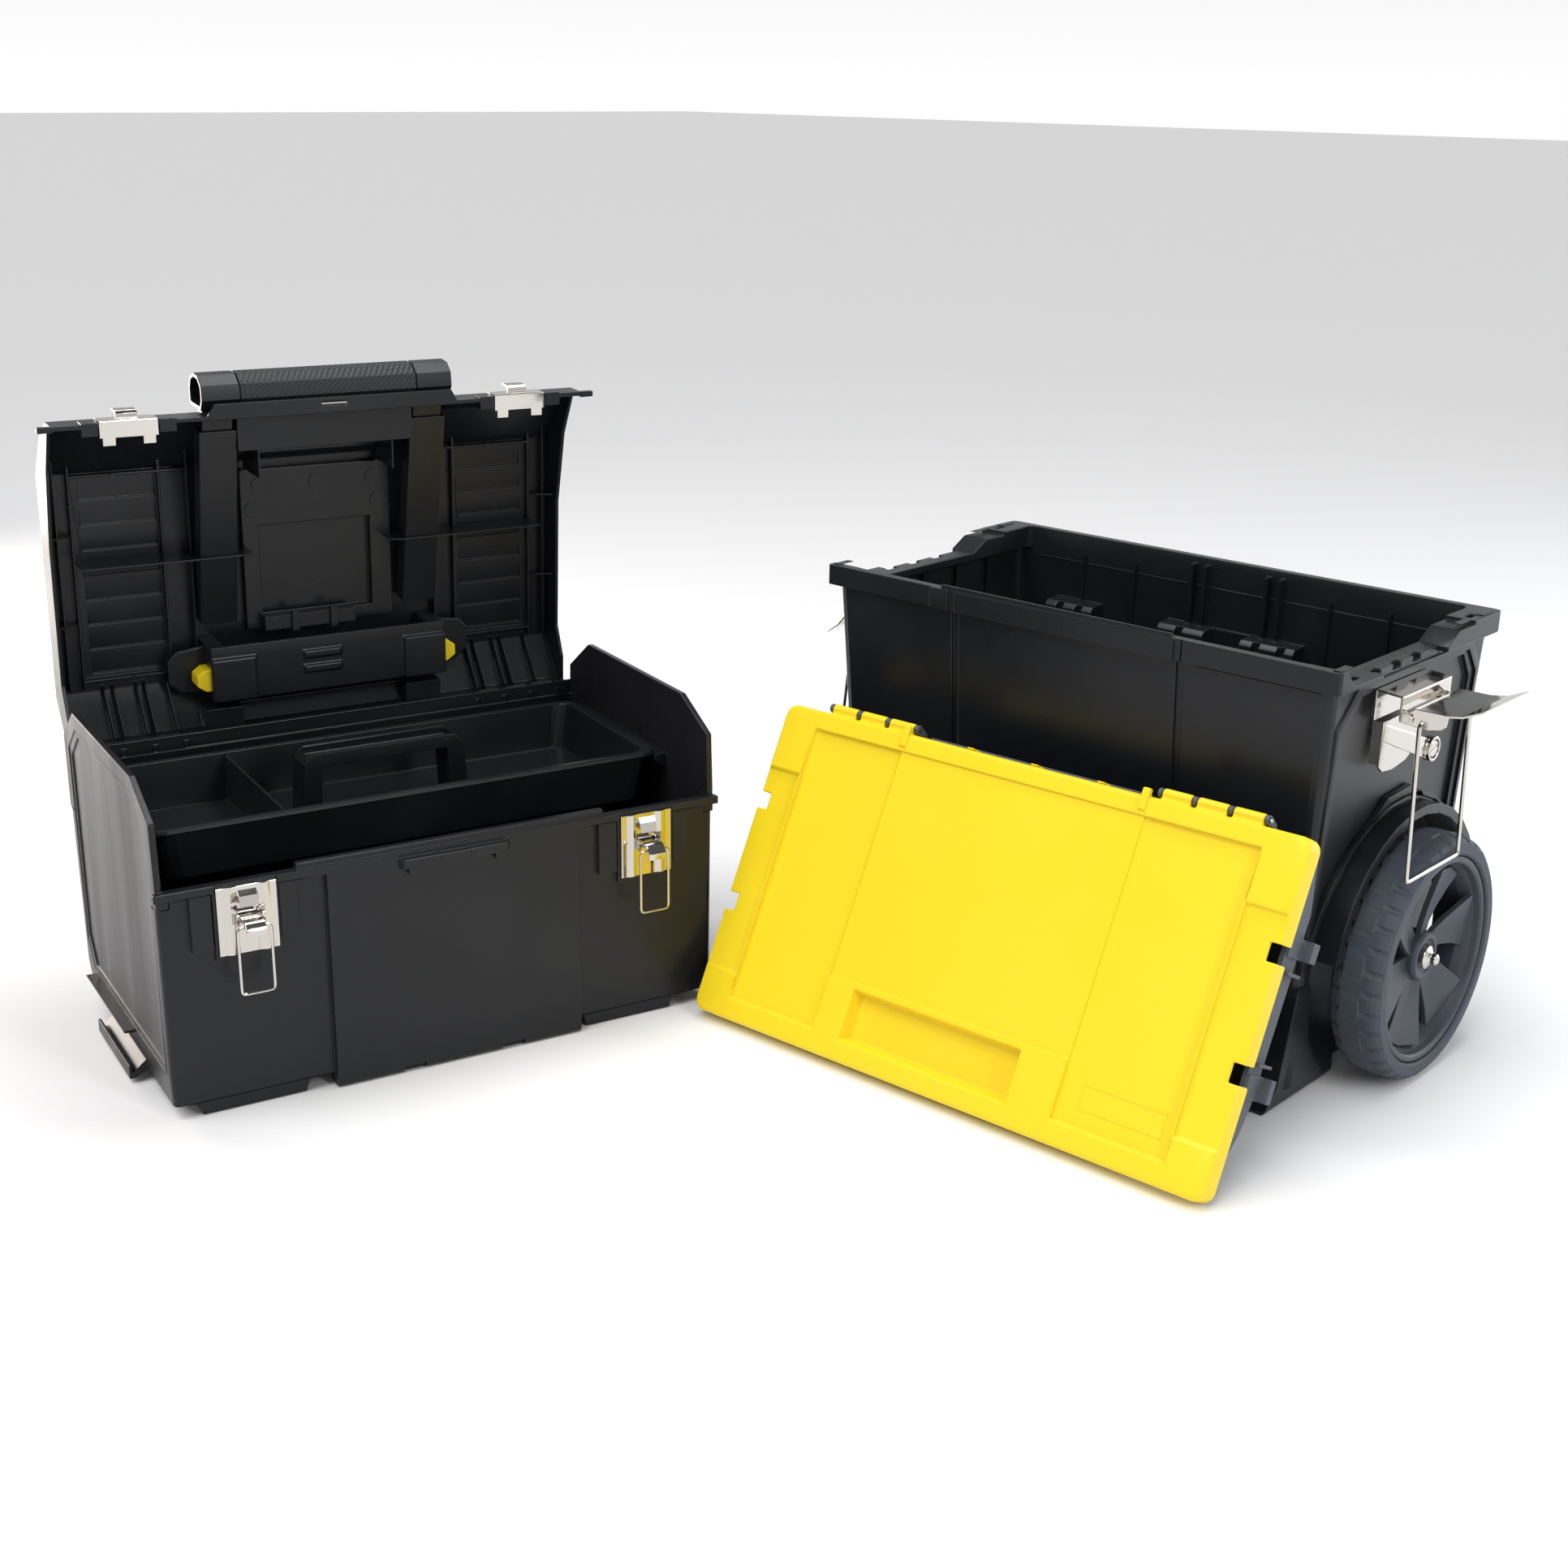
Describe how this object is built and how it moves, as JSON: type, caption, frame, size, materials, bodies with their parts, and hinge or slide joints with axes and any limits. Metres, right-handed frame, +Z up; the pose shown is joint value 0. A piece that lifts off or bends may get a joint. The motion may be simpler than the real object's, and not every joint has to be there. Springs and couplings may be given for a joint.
{
  "type": "rolling tool box",
  "caption": "Rolling tool storage set: a wheeled bin with end latches, a lidded parts organiser leaning on it and a tool box with its lid open, tote tray and telescopic handle.",
  "frame": {"origin": "centre of the set's bounding box, on the ground", "axes": "+X along the bin, towards its right end; +Y from the bin's front to its rear; +Z up"},
  "size_m": [0.9782, 0.8482, 0.5161],
  "materials": {
    "black_plastic": "satin",
    "dark_plastic": "satin",
    "yellow_plastic": "gloss",
    "chrome": "polished",
    "steel": "brushed",
    "wheel_plastic": "satin",
    "tyre_rubber": "matte"
  },
  "bodies": {
    "bin": {"bin_shell": "black_plastic", "wheel_axle": "steel", "axle_cap_left": "chrome", "axle_cap_right": "chrome", "bin_latch_bracket_left": "chrome", "bin_latch_bracket_right": "chrome", "bin_latch_guard_left": "chrome", "bin_latch_guard_right": "chrome"},
    "wheel_left": {"wheel_rim_left": "wheel_plastic", "tyre_left": "tyre_rubber"},
    "bin_lever_left": {"bin_latch_lever_left": "chrome"},
    "bin_bail_left": {"bin_latch_bail_left": "chrome"},
    "wheel_right": {"wheel_rim_right": "wheel_plastic", "tyre_right": "tyre_rubber"},
    "bin_lever_right": {"bin_latch_lever_right": "chrome"},
    "bin_bail_right": {"bin_latch_bail_right": "chrome"},
    "organiser": {"organiser_tray": "dark_plastic", "organiser_pin_left": "steel", "organiser_pin_right": "steel"},
    "organiser_cover": {"organiser_lid": "yellow_plastic"},
    "toolbox": {"toolbox_body": "black_plastic", "toolbox_pin_left": "steel", "toolbox_pin_right": "steel", "toolbox_latch_plate_left": "chrome", "toolbox_latch_plate_right": "chrome"},
    "toolbox_cover": {"toolbox_lid": "black_plastic", "handle_housing": "black_plastic", "handle_guide_left": "black_plastic", "handle_guide_right": "black_plastic", "lid_catch_left": "chrome", "lid_catch_right": "chrome"},
    "handle": {"handle_grip": "black_plastic", "handle_tube_left": "steel", "handle_tube_right": "steel"},
    "release_left": {"release_button_left": "yellow_plastic"},
    "toolbox_lever_left": {"toolbox_latch_lever_left": "chrome"},
    "toolbox_bail_left": {"toolbox_latch_bail_left": "chrome"},
    "release_right": {"release_button_right": "yellow_plastic"},
    "toolbox_lever_right": {"toolbox_latch_lever_right": "chrome"},
    "toolbox_bail_right": {"toolbox_latch_bail_right": "chrome"},
    "tray": {"tote_tray": "black_plastic"}
  },
  "joints": [
    {"name": "wheel_left_spin", "type": "hinge", "parent": "bin", "child": "wheel_left", "pos_m": [-0.07631, 0.30757, 0.1], "axis": [1, 0, 0], "continuous": true},
    {"name": "bin_lever_left_turn", "type": "hinge", "parent": "bin", "child": "bin_lever_left", "pos_m": [-0.08501, 0.26807, 0.3115], "axis": [0, 1, 0], "range_deg": [0, 105]},
    {"name": "bin_bail_left_swing", "type": "hinge", "parent": "bin_lever_left", "child": "bin_bail_left", "pos_m": [-0.08961, 0.26807, 0.30053], "axis": [0, 1, 0], "range_deg": [0, 85]},
    {"name": "wheel_right_spin", "type": "hinge", "parent": "bin", "child": "wheel_right", "pos_m": [0.42369, 0.30757, 0.1], "axis": [1, 0, 0], "continuous": true},
    {"name": "bin_lever_right_turn", "type": "hinge", "parent": "bin", "child": "bin_lever_right", "pos_m": [0.43239, 0.26807, 0.3115], "axis": [0, -1, 0], "range_deg": [0, 45]},
    {"name": "bin_bail_right_swing", "type": "hinge", "parent": "bin_lever_right", "child": "bin_bail_right", "pos_m": [0.44419, 0.26807, 0.31], "axis": [0, -1, 0], "range_deg": [0, 150]},
    {"name": "organiser_tip", "type": "hinge", "parent": "bin", "child": "organiser", "pos_m": [0.19015, 0.00406, 0.00051], "axis": [0.9995, 0.032, 0], "range_deg": [0, 26]},
    {"name": "organiser_lid_hinge", "type": "hinge", "parent": "organiser", "child": "organiser_cover", "pos_m": [0.18652, 0.11737, 0.24882], "axis": [-0.9995, -0.032, 0], "range_deg": [0, 100]},
    {"name": "toolbox_lift", "type": "slide", "parent": "bin", "child": "toolbox", "axis": [0, 0, 1], "range_m": [0, 0.3]},
    {"name": "toolbox_lid_hinge", "type": "hinge", "parent": "toolbox", "child": "toolbox_cover", "pos_m": [-0.38304, -0.12445, 0.214], "axis": [0.2898, 0.9571, 0], "range_deg": [0, 87.5]},
    {"name": "handle_slide", "type": "slide", "parent": "toolbox_cover", "child": "handle", "axis": [0.2153, -0.0652, 0.9744], "range_m": [0, 0.12]},
    {"name": "release_left_press", "type": "slide", "parent": "toolbox_cover", "child": "release_left", "axis": [0.2898, 0.9571, 0], "range_m": [0, 0.004], "stiffness_N_per_m": 300},
    {"name": "toolbox_lever_left_turn", "type": "hinge", "parent": "toolbox", "child": "toolbox_lever_left", "pos_m": [-0.16497, -0.36183, 0.156], "axis": [-0.2898, -0.9571, 0], "range_deg": [0, 50]},
    {"name": "toolbox_bail_left_swing", "type": "hinge", "parent": "toolbox_lever_left", "child": "toolbox_bail_left", "pos_m": [-0.15683, -0.36429, 0.1535], "axis": [-0.2898, -0.9571, 0], "range_deg": [-5, 140]},
    {"name": "release_right_press", "type": "slide", "parent": "toolbox_cover", "child": "release_right", "axis": [-0.2898, -0.9571, 0], "range_m": [0, 0.004], "stiffness_N_per_m": 300},
    {"name": "toolbox_lever_right_turn", "type": "hinge", "parent": "toolbox", "child": "toolbox_lever_right", "pos_m": [-0.06992, -0.04791, 0.156], "axis": [-0.2898, -0.9571, 0], "range_deg": [0, 50]},
    {"name": "toolbox_bail_right_swing", "type": "hinge", "parent": "toolbox_lever_right", "child": "toolbox_bail_right", "pos_m": [-0.06179, -0.05037, 0.1535], "axis": [-0.2898, -0.9571, 0], "range_deg": [-5, 140]},
    {"name": "tote_tray_lift", "type": "slide", "parent": "toolbox", "child": "tray", "axis": [0, 0, 1], "range_m": [0, 0.12]}
  ]
}
